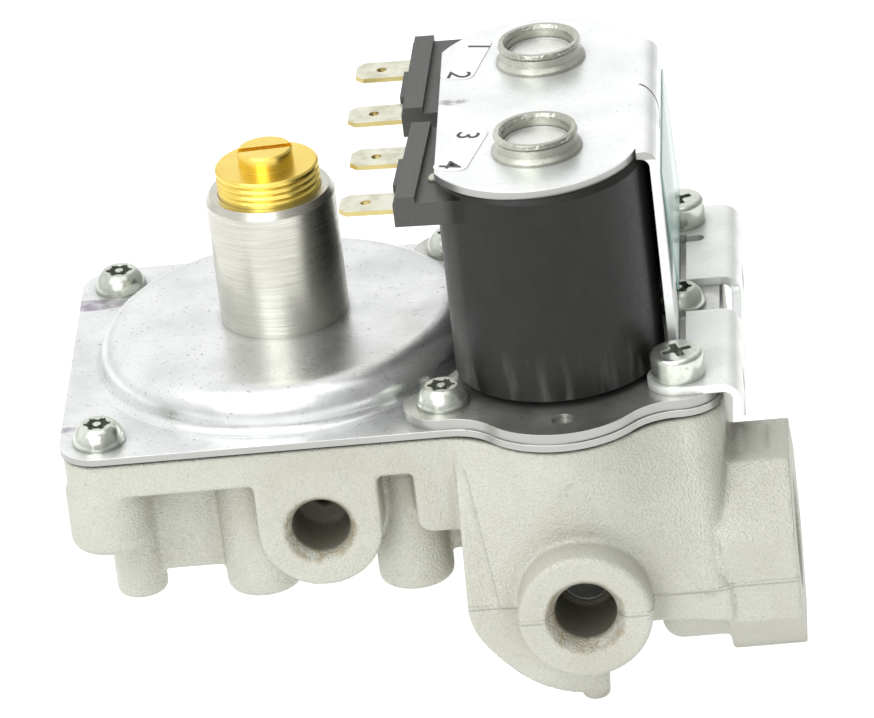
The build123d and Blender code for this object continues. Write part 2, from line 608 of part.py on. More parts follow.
# ---- coil bracket: top plate over both coils, bent down into a leg ----
ARM_LOW = COIL_TOP
ARM_TOP = ARM_LOW + SHEET_T
ARM_X = 46.1                            # centres of the plate's two round ends
ARM_Y = 15.95
ARM_R = 17.2
LEG_OUT = 66.1
LEG_IN = LEG_OUT - SHEET_T
LEG_HALF = 22.0
LEG_LOW = 2.2
BEND_R = 2.9
PLATE_EDGE_X = 30.5
with BuildPart() as coil_bracket:
    with BuildSketch(level(ARM_LOW)):
        with Locations((ARM_X, -ARM_Y), (ARM_X, ARM_Y)):
            Circle(ARM_R)
        with Locations((ARM_X, 0)):
            Rectangle(2 * ARM_R, 2 * ARM_Y)
        with Locations((PLATE_EDGE_X - 50, 0)):
            Rectangle(100, 100, mode=Mode.SUBTRACT)
        with Locations((LEG_OUT - BEND_R + 50, 0)):
            Rectangle(100, 100, mode=Mode.SUBTRACT)
    extrude(amount=SHEET_T)
    with BuildSketch(front(LEG_HALF)):
        with BuildLine():
            x0 = LEG_OUT - BEND_R - 0.5
            Polyline((x0, ARM_LOW), (x0, ARM_TOP), (LEG_OUT - BEND_R, ARM_TOP))
            RadiusArc((LEG_OUT - BEND_R, ARM_TOP), (LEG_OUT, ARM_TOP - BEND_R), BEND_R)
            Polyline((LEG_OUT, ARM_TOP - BEND_R), (LEG_OUT, LEG_LOW), (LEG_IN, LEG_LOW),
                     (LEG_IN, ARM_TOP - BEND_R))
            RadiusArc((LEG_IN, ARM_TOP - BEND_R), (LEG_OUT - BEND_R, ARM_LOW),
                      -(BEND_R - SHEET_T))
            Line((LEG_OUT - BEND_R, ARM_LOW), (x0, ARM_LOW))
        make_face()
    extrude(amount=2 * LEG_HALF)
    for x, y in coil_axes.values():
        post(GUIDE_R + FIT, x, y, ARM_LOW, ARM_TOP, mode=Mode.SUBTRACT)
    # notch around the middle end screw
    with BuildSketch(side(60)):
        with Locations((0, 2.0)):
            Rectangle(11.6, 12.0)
    extrude(amount=10, mode=Mode.SUBTRACT)
place(coil_bracket.part, "coil_bracket")

with BuildPart() as insulator_sheet:
    with BuildSketch(front(LEG_HALF)):
        with BuildLine():
            Polyline((66.15, 34.0), (66.4, 34.0), (67.1, 13.0), (66.85, 13.0), close=True)
        make_face()
    extrude(amount=40.0)
place(insulator_sheet.part, "insulator_sheet")

# ---- mounting bracket: bent strip under the end screws ----
FLANGE_TOP = PLATE_T + SHEET_T
STRIP_HALF = 33.5
STRIP_IN = 67.2
STRIP_OUT = 76.0
STRIP_LOW = -7.5
STRIP_BEND = 3.0
FIXING_Y = 19.0
FIXING_Z = -3.6
FIXING_R = 2.1
with BuildPart() as mounting_bracket:
    with BuildSketch(front(STRIP_HALF)):
        with BuildLine():
            Polyline((STRIP_IN, PLATE_T), (STRIP_IN, FLANGE_TOP),
                     (STRIP_OUT - STRIP_BEND, FLANGE_TOP))
            RadiusArc((STRIP_OUT - STRIP_BEND, FLANGE_TOP), (STRIP_OUT, FLANGE_TOP - STRIP_BEND),
                      STRIP_BEND)
            Polyline((STRIP_OUT, FLANGE_TOP - STRIP_BEND), (STRIP_OUT, STRIP_LOW),
                     (STRIP_OUT - SHEET_T, STRIP_LOW),
                     (STRIP_OUT - SHEET_T, FLANGE_TOP - STRIP_BEND))
            RadiusArc((STRIP_OUT - SHEET_T, FLANGE_TOP - STRIP_BEND),
                      (STRIP_OUT - STRIP_BEND, PLATE_T), -(STRIP_BEND - SHEET_T))
            Line((STRIP_OUT - STRIP_BEND, PLATE_T), (STRIP_IN, PLATE_T))
        make_face()
    extrude(amount=2 * STRIP_HALF)
    with BuildSketch(level(PLATE_T)):
        for end in (-1, 1):
            with Locations((END_X, end * SCREW_Y)):
                Circle(STRIP_HALF - SCREW_Y)
            with Locations(((END_X + 70) / 2, end * SCREW_Y)):
                Rectangle(70 - END_X, 2 * (STRIP_HALF - SCREW_Y))
    extrude(amount=SHEET_T)
    # slots beside the lugs, screw holes, window over the middle screw, two fixing holes
    with BuildSketch(level(PLATE_T)):
        for end in (-1, 1):
            with Locations((STRIP_IN + 0.1, end * 21.4)):
                SlotCenterToCenter(3.4, 2.4)
            with Locations((END_X, end * SCREW_Y)):
                Circle(SCREW_HOLE_R)
    extrude(amount=SHEET_T, mode=Mode.SUBTRACT)
    with BuildSketch(side(60)):
        with Locations((0, 5.5)):
            RectangleRounded(11.8, 10.0, 1.0)
    extrude(amount=20, mode=Mode.SUBTRACT)
    with BuildSketch(side(70)):
        with Locations((FIXING_Y, FIXING_Z), (-FIXING_Y, FIXING_Z)):
            Circle(FIXING_R)
        # shorter ends
        with Locations((STRIP_HALF, STRIP_LOW), (-STRIP_HALF, STRIP_LOW)):
            Rectangle(2 * (STRIP_HALF - 24.0), 2 * 4.0)
    extrude(amount=10, mode=Mode.SUBTRACT)
place(mounting_bracket.part, "mounting_bracket")

# ---- fasteners ----
HEAD_R = 4.35
BUTTON_H = 3.1
CHEESE_H = 4.3
SHANK_R = 2.4
SHANK_TIP = -14.0


def button_screw(x, y, seat):
    """Button head with a six-lobe socket and a centre pin."""
    with BuildPart() as screw:
        with BuildSketch(front(y)):
            with BuildLine():
                Polyline((x, seat), (x + HEAD_R, seat), (x + HEAD_R, seat + 0.4))
                RadiusArc((x + HEAD_R, seat + 0.4), (x + 2.7, seat + BUTTON_H), -4.4)
                Polyline((x + 2.7, seat + BUTTON_H), (x, seat + BUTTON_H), (x, seat))
            make_face()
        revolve(axis=Axis(DECK + Vector(x, y, 0), (0, 0, 1)))
        post(SHANK_R, x, y, SHANK_TIP, seat)
        with BuildSketch(level(seat + BUTTON_H - 1.7)):
            with Locations((x, y)):
                Circle(1.75)
                with PolarLocations(1.72, 6):
                    Circle(0.5)
                Circle(0.7, mode=Mode.SUBTRACT)
        extrude(amount=3, mode=Mode.SUBTRACT)
    return screw.part


def cheese_screw(x, y, seat):
    """Tall round head with a cross recess."""
    with BuildPart() as screw:
        post(HEAD_R, x, y, seat, seat + CHEESE_H)
        rim_edge = screw.edges().sort_by(Axis.Z)[-1]
        fillet(rim_edge, 0.9)
        post(SHANK_R, x, y, SHANK_TIP, seat)
        with BuildSketch(level(seat + CHEESE_H - 1.8)):
            with Locations((x, y)):
                Rectangle(4.8, 1.2, rotation=20)
                Rectangle(4.8, 1.2, rotation=110)
                Circle(1.1)
        extrude(amount=3, mode=Mode.SUBTRACT)
    return screw.part


place(Compound(children=[button_screw(x, y, 0) for x, y in corner_screws if x < 0]),
      "cover_screws")
place(Compound(children=[button_screw(x, y, PLATE_T) for x, y in
                         [(SCREW_X, -SCREW_Y), (SCREW_X, SCREW_Y), (END_X, 0)]]),
      "solenoid_plate_screws")
place(Compound(children=[cheese_screw(x, y, FLANGE_TOP) for x, y in end_screws]),
      "bracket_screws")

# ---- labels and inlet screen ----
with BuildPart() as terminal_labels:
    with BuildSketch(level(ARM_TOP)):
        for y_mid, spin in ((19.6, -12.5), (-15.5, -14.0)):
            with Locations(Location((34.6, y_mid, 0), (0, 0, spin))):
                RectangleRounded(5.6, 15.5, 1.6)
    extrude(amount=0.12)
    for x, y in coil_axes.values():
        post(7.6, x, y, ARM_TOP, ARM_TOP + 1, mode=Mode.SUBTRACT)
place(terminal_labels.part, "terminal_labels")

SCREEN_R = 3.95
SCREEN_T = 0.3
SCREEN_END = -30.0
with BuildPart() as inlet_screen:
    bore_y(SCREEN_R, RING_X, PORT_Z, -36.0, SCREEN_END, mode=Mode.ADD)
    bore_y(SCREEN_R - SCREEN_T, RING_X, PORT_Z, -36.0, SCREEN_END - SCREEN_T)
    with BuildSketch(front(SCREEN_END + 1)):
        with Locations((RING_X, PORT_Z)):
            with GridLocations(1.1, 1.1, 5, 5):
                Circle(0.35)
    extrude(amount=3, mode=Mode.SUBTRACT)
place(inlet_screen.part, "inlet_screen")
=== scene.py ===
import json
from math import cos, pi, radians, sin

import bmesh
import bpy
from mathutils import Matrix, Vector


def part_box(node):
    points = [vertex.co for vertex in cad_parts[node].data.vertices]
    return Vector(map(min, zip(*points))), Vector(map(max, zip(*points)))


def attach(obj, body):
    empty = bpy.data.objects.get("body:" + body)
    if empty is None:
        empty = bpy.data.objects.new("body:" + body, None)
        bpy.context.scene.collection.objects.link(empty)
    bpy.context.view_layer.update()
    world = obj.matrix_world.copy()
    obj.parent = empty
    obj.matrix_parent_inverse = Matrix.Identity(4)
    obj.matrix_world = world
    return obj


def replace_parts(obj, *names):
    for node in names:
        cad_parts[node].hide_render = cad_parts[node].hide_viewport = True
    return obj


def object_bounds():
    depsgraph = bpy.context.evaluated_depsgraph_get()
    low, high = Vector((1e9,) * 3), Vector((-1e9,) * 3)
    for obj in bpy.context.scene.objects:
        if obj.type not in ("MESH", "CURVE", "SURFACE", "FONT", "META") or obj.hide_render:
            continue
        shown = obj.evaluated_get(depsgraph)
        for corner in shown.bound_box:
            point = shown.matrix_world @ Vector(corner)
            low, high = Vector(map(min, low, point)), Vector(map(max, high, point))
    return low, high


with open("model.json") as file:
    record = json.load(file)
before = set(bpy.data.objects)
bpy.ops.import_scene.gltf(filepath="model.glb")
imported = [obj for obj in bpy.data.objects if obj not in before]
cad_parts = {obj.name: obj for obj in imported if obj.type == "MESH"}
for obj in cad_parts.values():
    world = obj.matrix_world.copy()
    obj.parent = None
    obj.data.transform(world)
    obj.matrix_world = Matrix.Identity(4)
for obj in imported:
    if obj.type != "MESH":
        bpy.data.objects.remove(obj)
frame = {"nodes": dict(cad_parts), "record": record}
cad_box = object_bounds()
nodes = frame["nodes"]

MM = 0.001
FAR = 1.0  # a metre: past everything in the scene


# ---- places, read from the frame ----
def span(name):
    """Lowest and highest corner of a node's box."""
    low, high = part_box(name)
    return Vector(low), Vector(high)


def middle(name):
    """Centre of a node's box."""
    low, high = span(name)
    return (low + high) / 2


box_low, box_high = Vector(cad_box[0]), Vector(cad_box[1])
box_mid = (box_low + box_high) / 2
ports = {mount["name"]: Vector(mount["pos_m"]) for mount in frame["record"]["mounts"]}
# deck centre: between the corner screws, on the face the solenoid plate lies on
SCREWS_FROM_DECK = 66.1 * MM
deck = Vector((middle("bracket_screws").x - SCREWS_FROM_DECK, middle("cover_screws").y,
               span("solenoid_plate")[0].z))


def at(x, y, z):
    """A place in millimetres from the deck centre."""
    return deck + Vector((x, y, z)) * MM


# ---- camera: a long lens, looking down on the inlet side, a little from the outlet ----
AZIMUTH = radians(4.716)
ELEVATION = radians(26.076)
ROLL = radians(6.969)
DISTANCE = 1.3225
AIM = Vector((-55.3, 5.44, 34.2)) * MM
LENS = 337.74
SENSOR = 36.0
SHIFT_Y = -0.0039
FAR_CLIP = 10


def add_camera():
    """The camera, turned by AZIMUTH from the inlet side and rolled so that uprights lean left."""
    across = Vector((cos(AZIMUTH), sin(AZIMUTH), 0))
    ahead = Vector((-sin(AZIMUTH) * cos(ELEVATION), cos(AZIMUTH) * cos(ELEVATION), -sin(ELEVATION)))
    above = across.cross(ahead)
    right = across * cos(ROLL) - above * sin(ROLL)
    up = above * cos(ROLL) + across * sin(ROLL)
    camera = bpy.data.objects.new("camera", bpy.data.cameras.new("camera"))
    camera.matrix_world = Matrix.Translation(AIM - ahead * DISTANCE) @ Matrix(
        (right, up, -ahead)).transposed().to_4x4()
    camera.data.sensor_width = SENSOR
    camera.data.lens = LENS
    camera.data.shift_y = SHIFT_Y
    camera.data.clip_end = FAR_CLIP
    bpy.context.scene.collection.objects.link(camera)
    bpy.context.scene.camera = camera


add_camera()


# ---- light ----
LAMP_DISTANCE = 0.9


def add_area(name, size, power, azimuth, elevation):
    """A soft lamp facing the valve; azimuth is in degrees from the inlet side to the outlet."""
    lamp = bpy.data.lights.new(name, "AREA")
    lamp.shape = "RECTANGLE"
    lamp.size, lamp.size_y = size
    lamp.energy = power
    obj = bpy.data.objects.new(name, lamp)
    a, e = radians(azimuth), radians(elevation)
    away = Vector((sin(a) * cos(e), -cos(a) * cos(e), sin(e)))
    obj.location = box_mid + away * LAMP_DISTANCE
    obj.rotation_euler = away.to_track_quat("Z", "Y").to_euler()
    bpy.context.scene.collection.objects.link(obj)


add_area("key", (0.5, 0.5), 1.6, -50, 55)
add_area("front", (0.6, 0.5), 2.4, -18, 38)
add_area("top", (0.6, 0.6), 1.0, 20, 80)
add_area("strip", (0.08, 0.7), 0.25, -25, 20)


# tones of the white tent along each axis, as (direction, tone) from one end to the other
TENT = {
    "Z": ((0.0, 0.6), (0.3, 1.0), (1.0, 0.85)),
    "X": ((0.2, 1.0), (0.55, 0.5), (1.0, 0.3)),
    "Y": ((-1.0, 0.55), (-0.3, 0.8), (0.2, 1.0)),
}
TENT_STRENGTH = 1.15


def add_world():
    """A white tent: paler overhead and behind, greyer low at the front and to the right."""
    world = bpy.data.worlds.new("studio")
    bpy.context.scene.world = world
    world.use_nodes = True
    tree = world.node_tree
    split = tree.nodes.new("ShaderNodeSeparateXYZ")
    tree.links.new(tree.nodes.new("ShaderNodeTexCoord").outputs["Generated"], split.inputs[0])
    tones = []
    for axis, stops in TENT.items():
        low, high = stops[0][0], stops[-1][0]
        scale = tree.nodes.new("ShaderNodeMapRange")
        scale.inputs["From Min"].default_value = low
        scale.inputs["From Max"].default_value = high
        tree.links.new(split.outputs[axis], scale.inputs["Value"])
        ramp = tree.nodes.new("ShaderNodeValToRGB")
        ramp.color_ramp.elements.new(0.5)
        for element, (place, tone) in zip(ramp.color_ramp.elements, stops):
            element.position = (place - low) / (high - low)
            element.color = (tone, tone, tone, 1)
        tree.links.new(scale.outputs["Result"], ramp.inputs["Fac"])
        tones.append(ramp.outputs["Color"])
    total = tones[0]
    for tone in tones[1:]:
        product = tree.nodes.new("ShaderNodeMix")
        product.data_type = "RGBA"
        product.blend_type = "MULTIPLY"
        product.inputs[0].default_value = 1.0
        tree.links.new(total, product.inputs[6])
        tree.links.new(tone, product.inputs[7])
        total = product.outputs[2]
    background = tree.nodes["Background"]
    tree.links.new(total, background.inputs["Color"])
    background.inputs["Strength"].default_value = TENT_STRENGTH
    bpy.context.scene.view_settings.view_transform = "Standard"


add_world()


# ---- materials ----
NOISE_ROUGHNESS = 0.55


class Shader:
    """A principled material with short ways to add and join nodes.

    round_edge is the radius in metres by which sharp edges are shaded round."""

    def __init__(self, name, round_edge=0.0, **settings):
        self.material = bpy.data.materials.new(name)
        self.material.use_nodes = True
        self.tree = self.material.node_tree
        self.main = self.tree.nodes["Principled BSDF"]
        for key, value in settings.items():
            self.main.inputs[key.replace("_", " ")].default_value = value
        self.place = self.add("ShaderNodeTexCoord").outputs["Object"]
        self.normal = None
        if round_edge:
            bevel = self.add("ShaderNodeBevel", samples=4)
            bevel.inputs["Radius"].default_value = round_edge
            self.normal = bevel.outputs["Normal"]
            self.join(self.normal, self.main.inputs["Normal"])

    def add(self, kind, **settings):
        """A new node with its settings."""
        node = self.tree.nodes.new(kind)
        for key, value in settings.items():
            setattr(node, key, value)
        return node

    def join(self, source, target):
        """A link from an output to an input."""
        self.tree.links.new(source, target)

    def noise(self, scale, detail, stretch=(1, 1, 1)):
        """Noise whose grain is about 1 / scale metres, drawn out by stretch."""
        mapping = self.add("ShaderNodeMapping")
        mapping.inputs["Scale"].default_value = stretch
        self.join(self.place, mapping.inputs["Vector"])
        texture = self.add("ShaderNodeTexNoise")
        texture.inputs["Scale"].default_value = scale
        texture.inputs["Detail"].default_value = detail
        texture.inputs["Roughness"].default_value = NOISE_ROUGHNESS
        self.join(mapping.outputs["Vector"], texture.inputs["Vector"])
        return texture.outputs["Fac"]

    def ramp(self, value, stops):
        """Colours, or greys, over a 0 to 1 value."""
        ramp = self.add("ShaderNodeValToRGB")
        elements = ramp.color_ramp.elements
        while len(elements) < len(stops):
            elements.new(0.5)
        for element, (place, colour) in zip(elements, stops):
            element.position = place
            tone = (colour,) * 3 if isinstance(colour, (int, float)) else colour
            element.color = (*tone, 1)
        self.join(value, ramp.inputs["Fac"])
        return ramp.outputs["Color"]

    def mix(self, first, second, share, mode="MIX"):
        """Blend of two colours by a share; each may be a socket or a colour."""
        mixer = self.add("ShaderNodeMix", data_type="RGBA", blend_type=mode)
        for value, socket in ((share, 0), (first, 6), (second, 7)):
            if isinstance(value, bpy.types.NodeSocket):
                self.join(value, mixer.inputs[socket])
            elif socket == 0:
                mixer.inputs[0].default_value = value
            else:
                mixer.inputs[socket].default_value = (*value, 1)
        return mixer.outputs[2]

    def sums(self, operation, first, second=None):
        """A maths node; each value may be a socket or a number."""
        node = self.add("ShaderNodeMath", operation=operation)
        for value, socket in ((first, node.inputs[0]), (second, node.inputs[1])):
            if isinstance(value, bpy.types.NodeSocket):
                self.join(value, socket)
            elif value is not None:
                socket.default_value = value
        return node.outputs[0]

    def axis(self, name, vector=None):
        """One component of a vector, or of the place on the object."""
        split = self.add("ShaderNodeSeparateXYZ")
        self.join(vector or self.place, split.inputs[0])
        return split.outputs[name]

    def near(self, spot, inner, outer, squeeze=(1, 1, 1)):
        """1 within inner metres of a spot, falling to 0 at outer; squeeze scales the axes."""
        shift = self.add("ShaderNodeVectorMath", operation="SUBTRACT")
        self.join(self.place, shift.inputs[0])
        shift.inputs[1].default_value = spot
        scale = self.add("ShaderNodeVectorMath", operation="MULTIPLY")
        self.join(shift.outputs[0], scale.inputs[0])
        scale.inputs[1].default_value = squeeze
        size = self.add("ShaderNodeVectorMath", operation="LENGTH")
        self.join(scale.outputs[0], size.inputs[0])
        fall = self.add("ShaderNodeMapRange", interpolation_type="SMOOTHSTEP")
        fall.inputs["From Min"].default_value = inner
        fall.inputs["From Max"].default_value = outer
        fall.inputs["To Min"].default_value = 1.0
        fall.inputs["To Max"].default_value = 0.0
        self.join(size.outputs["Value"], fall.inputs["Value"])
        return fall.outputs["Result"]

    def painted_shade(self, base, reach, shade_tone, most):
        """Painted shade: colour darkened in corners and gaps narrower than reach, and a little on
        faces that point down.
        """
        gap = self.add("ShaderNodeAmbientOcclusion", samples=6)
        gap.inputs["Distance"].default_value = reach
        # painted shade in corners and gaps, from the ambient occlusion
        corner = self.ramp(gap.outputs["AO"], [(0.25, most), (0.95, 0.0)])
        # painted shade on faces that point down
        normal = self.add("ShaderNodeNewGeometry").outputs["Normal"]
        under = self.sums("ADD", self.sums("MULTIPLY", self.axis("Z", normal), 0.5), 0.5)
        lower = self.ramp(under, [(0.0, 0.5), (0.42, 0.0)])
        return self.mix(base, shade_tone, self.sums("MAXIMUM", corner, lower))

    def within(self, value, low, high, soft):
        """1 where a value in metres lies between low and high, with soft sides."""
        sides = []
        for start, end in ((low - soft, low), (high + soft, high)):
            side = self.add("ShaderNodeMapRange")
            side.inputs["From Min"].default_value = start
            side.inputs["From Max"].default_value = end
            self.join(value, side.inputs["Value"])
            sides.append(side.outputs["Result"])
        return self.sums("MULTIPLY", *sides)

    def bump(self, height, depth):
        """Relief over what was there before; depth in metres for a height of 1."""
        bump = self.add("ShaderNodeBump")
        bump.inputs["Strength"].default_value = 1.0
        bump.inputs["Distance"].default_value = depth
        self.join(height, bump.inputs["Height"])
        if self.normal:
            self.join(self.normal, bump.inputs["Normal"])
        self.normal = bump.outputs["Normal"]
        self.join(self.normal, self.main.inputs["Normal"])

    def colour(self, socket):
        """Sets the base colour."""
        self.join(socket, self.main.inputs["Base Color"])

    def rough(self, socket):
        """Sets the roughness."""
        self.join(socket, self.main.inputs["Roughness"])


# Places below are in millimetres from the deck centre, as at() takes them.
# ports, with the axis each faces along and the radius of its bored mouth
MOUTHS = (("inlet_port", "Y", 6.5), ("pressure_tap", "Y", 5.9), ("outlet_port", "X", 9.2))
BORE_DEPTH = 22
# front of the casting, where the parting line and the raised pad show
FRONT_Y = -38
# the raised pad: foot of its left edge, height it runs up to, and lean per millimetre of height
PAD_FOOT = (34.2, 0, -28.2)
PAD_TOP = -6.7
PAD_LEAN = 3.6 / 21.5
PAD_Y = -33


def port_stains_and_bore_shade(s, base):
    """Brownish stains on the ports' lips and painted shade inside their bores."""
    blotches = s.ramp(s.noise(420, 3), [(0.42, 0.0), (0.62, 0.7)])
    for port, facing, radius in MOUTHS:
        spot = ports[port]
        across = (0, 1, 1) if facing == "X" else (1, 0, 1)
        lip = s.near(spot, (radius - 0.4) * MM, (radius + 0.7) * MM, across)
        near_mouth = s.near(spot, 7 * MM, 9 * MM)
        stain = s.sums("MULTIPLY", s.sums("MULTIPLY", lip, near_mouth), blotches)
        base = s.mix(base, (0.36, 0.29, 0.17), stain)
        # painted shade inside each bore, down to BORE_DEPTH from the mouth
        inside = s.near(spot, (radius - 1.3) * MM, (radius - 0.8) * MM, across)
        if facing == "X":
            deep = s.within(s.axis("X"), spot.x - BORE_DEPTH * MM, spot.x - 1.2 * MM, 1 * MM)
        else:
            deep = s.within(s.axis("Y"), spot.y + 0.5 * MM, spot.y + BORE_DEPTH * MM, 1 * MM)
        base = s.mix(base, (0.19, 0.18, 0.14), s.sums("MULTIPLY", inside, deep))
    return base


def parting_line(s):
    """Where the halves of the mould met: a line across the front at the level of the ports."""
    level = s.within(s.axis("Z"), -0.25 * MM, 0.1 * MM, 0.3 * MM)
    front = s.within(s.axis("Y"), -FAR, at(0, FRONT_Y, 0).y, 2 * MM)
    return s.sums("MULTIPLY", level, front)


def pad_edge(s):
    """Edge of the raised pad, running down the left of the block and leaning as it goes."""
    slope = s.sums("ADD", s.axis("X"), s.sums("MULTIPLY", s.axis("Z"), PAD_LEAN))
    foot = at(*PAD_FOOT)
    edge = foot.x + foot.z * PAD_LEAN
    side = s.within(slope, edge - 0.1 * MM, edge, 0.35 * MM)
    height = s.within(s.axis("Z"), foot.z, at(0, 0, PAD_TOP).z, 0.5 * MM)
    front = s.within(s.axis("Y"), -FAR, at(0, PAD_Y, 0).y, 1 * MM)
    return s.sums("MULTIPLY", s.sums("MULTIPLY", side, height), front)


def cast_aluminium():
    """Sand-textured casting: pale warm grey, darker in its pits, with painted shade in corners and
    on undersides.
    """
    s = Shader("cast_aluminium", Metallic=0.35, Specular_IOR_Level=0.4)
    grain = s.noise(2600, 2)
    base = s.ramp(s.noise(55, 4), [(0.32, (0.565, 0.565, 0.49)), (0.6, (0.63, 0.635, 0.565))])
    base = s.mix(base, (0.44, 0.435, 0.375), s.ramp(s.noise(3400, 2), [(0.36, 0.45), (0.52, 0.0)]))
    base = s.mix(base, (0.40, 0.39, 0.33), s.ramp(s.noise(300, 3), [(0.26, 0.4), (0.32, 0.0)]))
    base = port_stains_and_bore_shade(s, base)
    # painted shade in corners and gaps within 5 mm, and on faces that point down
    s.colour(s.painted_shade(base, 5 * MM, (0.30, 0.29, 0.24), 0.75))
    s.rough(s.ramp(grain, [(0.3, 0.60), (0.7, 0.40)]))
    height = s.sums("ADD", grain, s.sums("MULTIPLY", parting_line(s), 1.1))
    s.bump(s.sums("SUBTRACT", height, s.sums("MULTIPLY", pad_edge(s), 0.8)), 0.3 * MM)
    return s.material


SHEARED = (0.44, 0.445, 0.42)


def plated(name, pale, dark, rough=(0.22, 0.38), specks=0.3, round_edge=0.25 * MM,
           metallic=0.88, sheared=None):
    """Zinc plate: faint clouds, dark specks, uneven gloss, greyer sheared edges and painted shade
    in corners.

    rough is the roughness where it is glossiest and dullest, and sheared the heights between
    which the upright faces are cut edges."""
    s = Shader(name, round_edge=round_edge, Metallic=metallic)
    cloud = s.noise(90, 5)
    fine = s.noise(900, 4)
    base = s.ramp(cloud, [(0.35, dark), (0.6, pale)])
    base = s.mix(base, dark, s.ramp(fine, [(0.25, 0.5), (0.5, 0.0)]))
    # dark tone for the specks and for the painted shade
    speck_and_shade_tone = [tone * 0.45 for tone in dark]
    s.base = s.mix(base, speck_and_shade_tone, s.ramp(s.noise(1500, 2), [(0.27, specks), (0.36, 0.0)]))
    if sheared:
        normal = s.add("ShaderNodeNewGeometry").outputs["True Normal"]
        upright = s.ramp(s.sums("ABSOLUTE", s.axis("Z", normal)), [(0.3, 1.0), (0.6, 0.0)])
        edge = s.sums("MULTIPLY", upright, s.within(s.axis("Z"), *sheared, 0.1 * MM))
        s.base = s.mix(s.base, SHEARED, edge)
    # painted shade in corners and gaps within 1.5 mm, and on faces that point down
    s.base = s.painted_shade(s.base, 1.5 * MM, speck_and_shade_tone, 0.7)
    s.colour(s.base)
    s.rough(s.ramp(s.noise(160, 5), [(0.3, rough[1]), (0.7, rough[0])]))
    s.bump(fine, 0.015 * MM)
    return s


# strokes of the marker: place on the cover, reach, and how each axis is squeezed
STROKES = (((-33.2, 22.0, 0), 3.6, (0.42, 1.5, 1)),
           ((-33.8, -23.6, 0), 2.6, (0.6, 2.2, 1)))


def zinc_cover():
    """Cover and dome, with two strokes of a violet marker by the left edge."""
    s = plated("zinc_cover", (0.82, 0.835, 0.83), (0.69, 0.705, 0.70), (0.24, 0.37), specks=0.7,
               round_edge=0.12 * MM, sheared=(at(0, 0, -1.3).z, at(0, 0, -0.15).z))
    worn = s.ramp(s.noise(500, 3), [(0.3, 0.25), (0.6, 0.9)])
    base = s.base
    for spot, reach, squeeze in STROKES:
        stroke = s.near(at(*spot), reach * 0.7 * MM, reach * MM, squeeze)
        base = s.mix(base, (0.30, 0.26, 0.33), s.sums("MULTIPLY", stroke, worn))
    s.colour(base)
    return s.material


# a dark smudge between the labels
SMUDGE = (32.6, 3.3, 39.8)
# the crease is an arc round this place, on the bend only
CREASE_CENTRE = (57.7, -2.7, 38.2)
CREASE_RADIUS = 8.8
BEND_X = 63.1
CREASE_FRONT = -4.3
CREASE_BACK = 3.9


def bracket_zinc():
    """Coil bracket: a smudge on the top plate and a pressed half-moon crease across the bend, with
    painted shade in the crease.
    """
    s = plated("bracket_zinc", (0.93, 0.95, 0.94), (0.82, 0.84, 0.83), (0.28, 0.42), specks=0.4,
               metallic=0.72, sheared=(at(0, 0, 38.3).z, at(0, 0, 39.6).z))
    smudge = s.near(at(*SMUDGE), 0.6 * MM, 1.5 * MM, (0.45, 1, 1))
    worn = s.ramp(s.noise(700, 2), [(0.35, 0.1), (0.55, 0.8)])
    base = s.mix(s.base, (0.27, 0.27, 0.27), s.sums("MULTIPLY", smudge, worn))
    centre = at(*CREASE_CENTRE)
    inner = s.near(centre, (CREASE_RADIUS - 0.25) * MM, (CREASE_RADIUS - 0.1) * MM)
    outer = s.near(centre, (CREASE_RADIUS + 0.15) * MM, (CREASE_RADIUS + 0.25) * MM)
    along = s.within(s.axis("Y"), at(0, CREASE_FRONT, 0).y, at(0, CREASE_BACK, 0).y, 0.2 * MM)
    bend = s.within(s.axis("X"), at(BEND_X, 0, 0).x, FAR, 0.2 * MM)
    crease_mask = s.sums("MULTIPLY", s.sums("SUBTRACT", outer, inner), s.sums("MULTIPLY", bend, along))
    # painted shade: the crease is coloured near black as the shade in it
    s.colour(s.mix(base, (0.10, 0.10, 0.10), crease_mask))
    s.bump(s.sums("MULTIPLY", crease_mask, -1.0), 0.3 * MM)
    return s.material


def turned(name, pale, dark, pitch_scale, depth, rough):
    """Turned metal with lathe rings: noise that changes mostly along the upright axis."""
    s = Shader(name, Metallic=1.0, round_edge=0.15 * MM)
    rings = s.noise(pitch_scale, 2, stretch=(0.02, 0.02, 1))
    base = s.ramp(rings, [(0.3, dark), (0.65, pale)])
    s.colour(s.mix(base, dark, s.ramp(s.noise(150, 3), [(0.35, 0.5), (0.6, 0.0)])))
    s.rough(s.ramp(rings, [(0.3, rough[1]), (0.7, rough[0])]))
    s.bump(rings, depth)
    return s.material


# height above which the collars were staked
RIM_Z = 42.6


def collar_zinc():
    """Turned collar with a rim roughened where it was staked over."""
    s = plated("collar_zinc", (0.62, 0.63, 0.555), (0.42, 0.43, 0.37), (0.24, 0.36), specks=0.5)
    staked = s.within(s.axis("Z"), at(0, 0, RIM_Z).z, FAR, 0.3 * MM)
    s.bump(s.sums("MULTIPLY", s.noise(1100, 1), staked), 0.22 * MM)
    return s.material


def moulded(name, pale, dark, rough=(0.38, 0.5), specular=0.5):
    """Plastic, rubber or card: faint clouds and a fine grain."""
    s = Shader(name, round_edge=0.2 * MM, Specular_IOR_Level=specular)
    fine = s.noise(1200, 2)
    s.base = s.ramp(s.noise(220, 4), [(0.35, dark), (0.65, pale)])
    s.colour(s.base)
    s.rough(s.ramp(fine, [(0.3, rough[1]), (0.7, rough[0])]))
    s.bump(fine, 0.02 * MM)
    return s


# where the terminal blocks end against the windings, and how high the marks reach
BLOCK_END_X = 31.5
MARKS_TOP_Z = 5.0


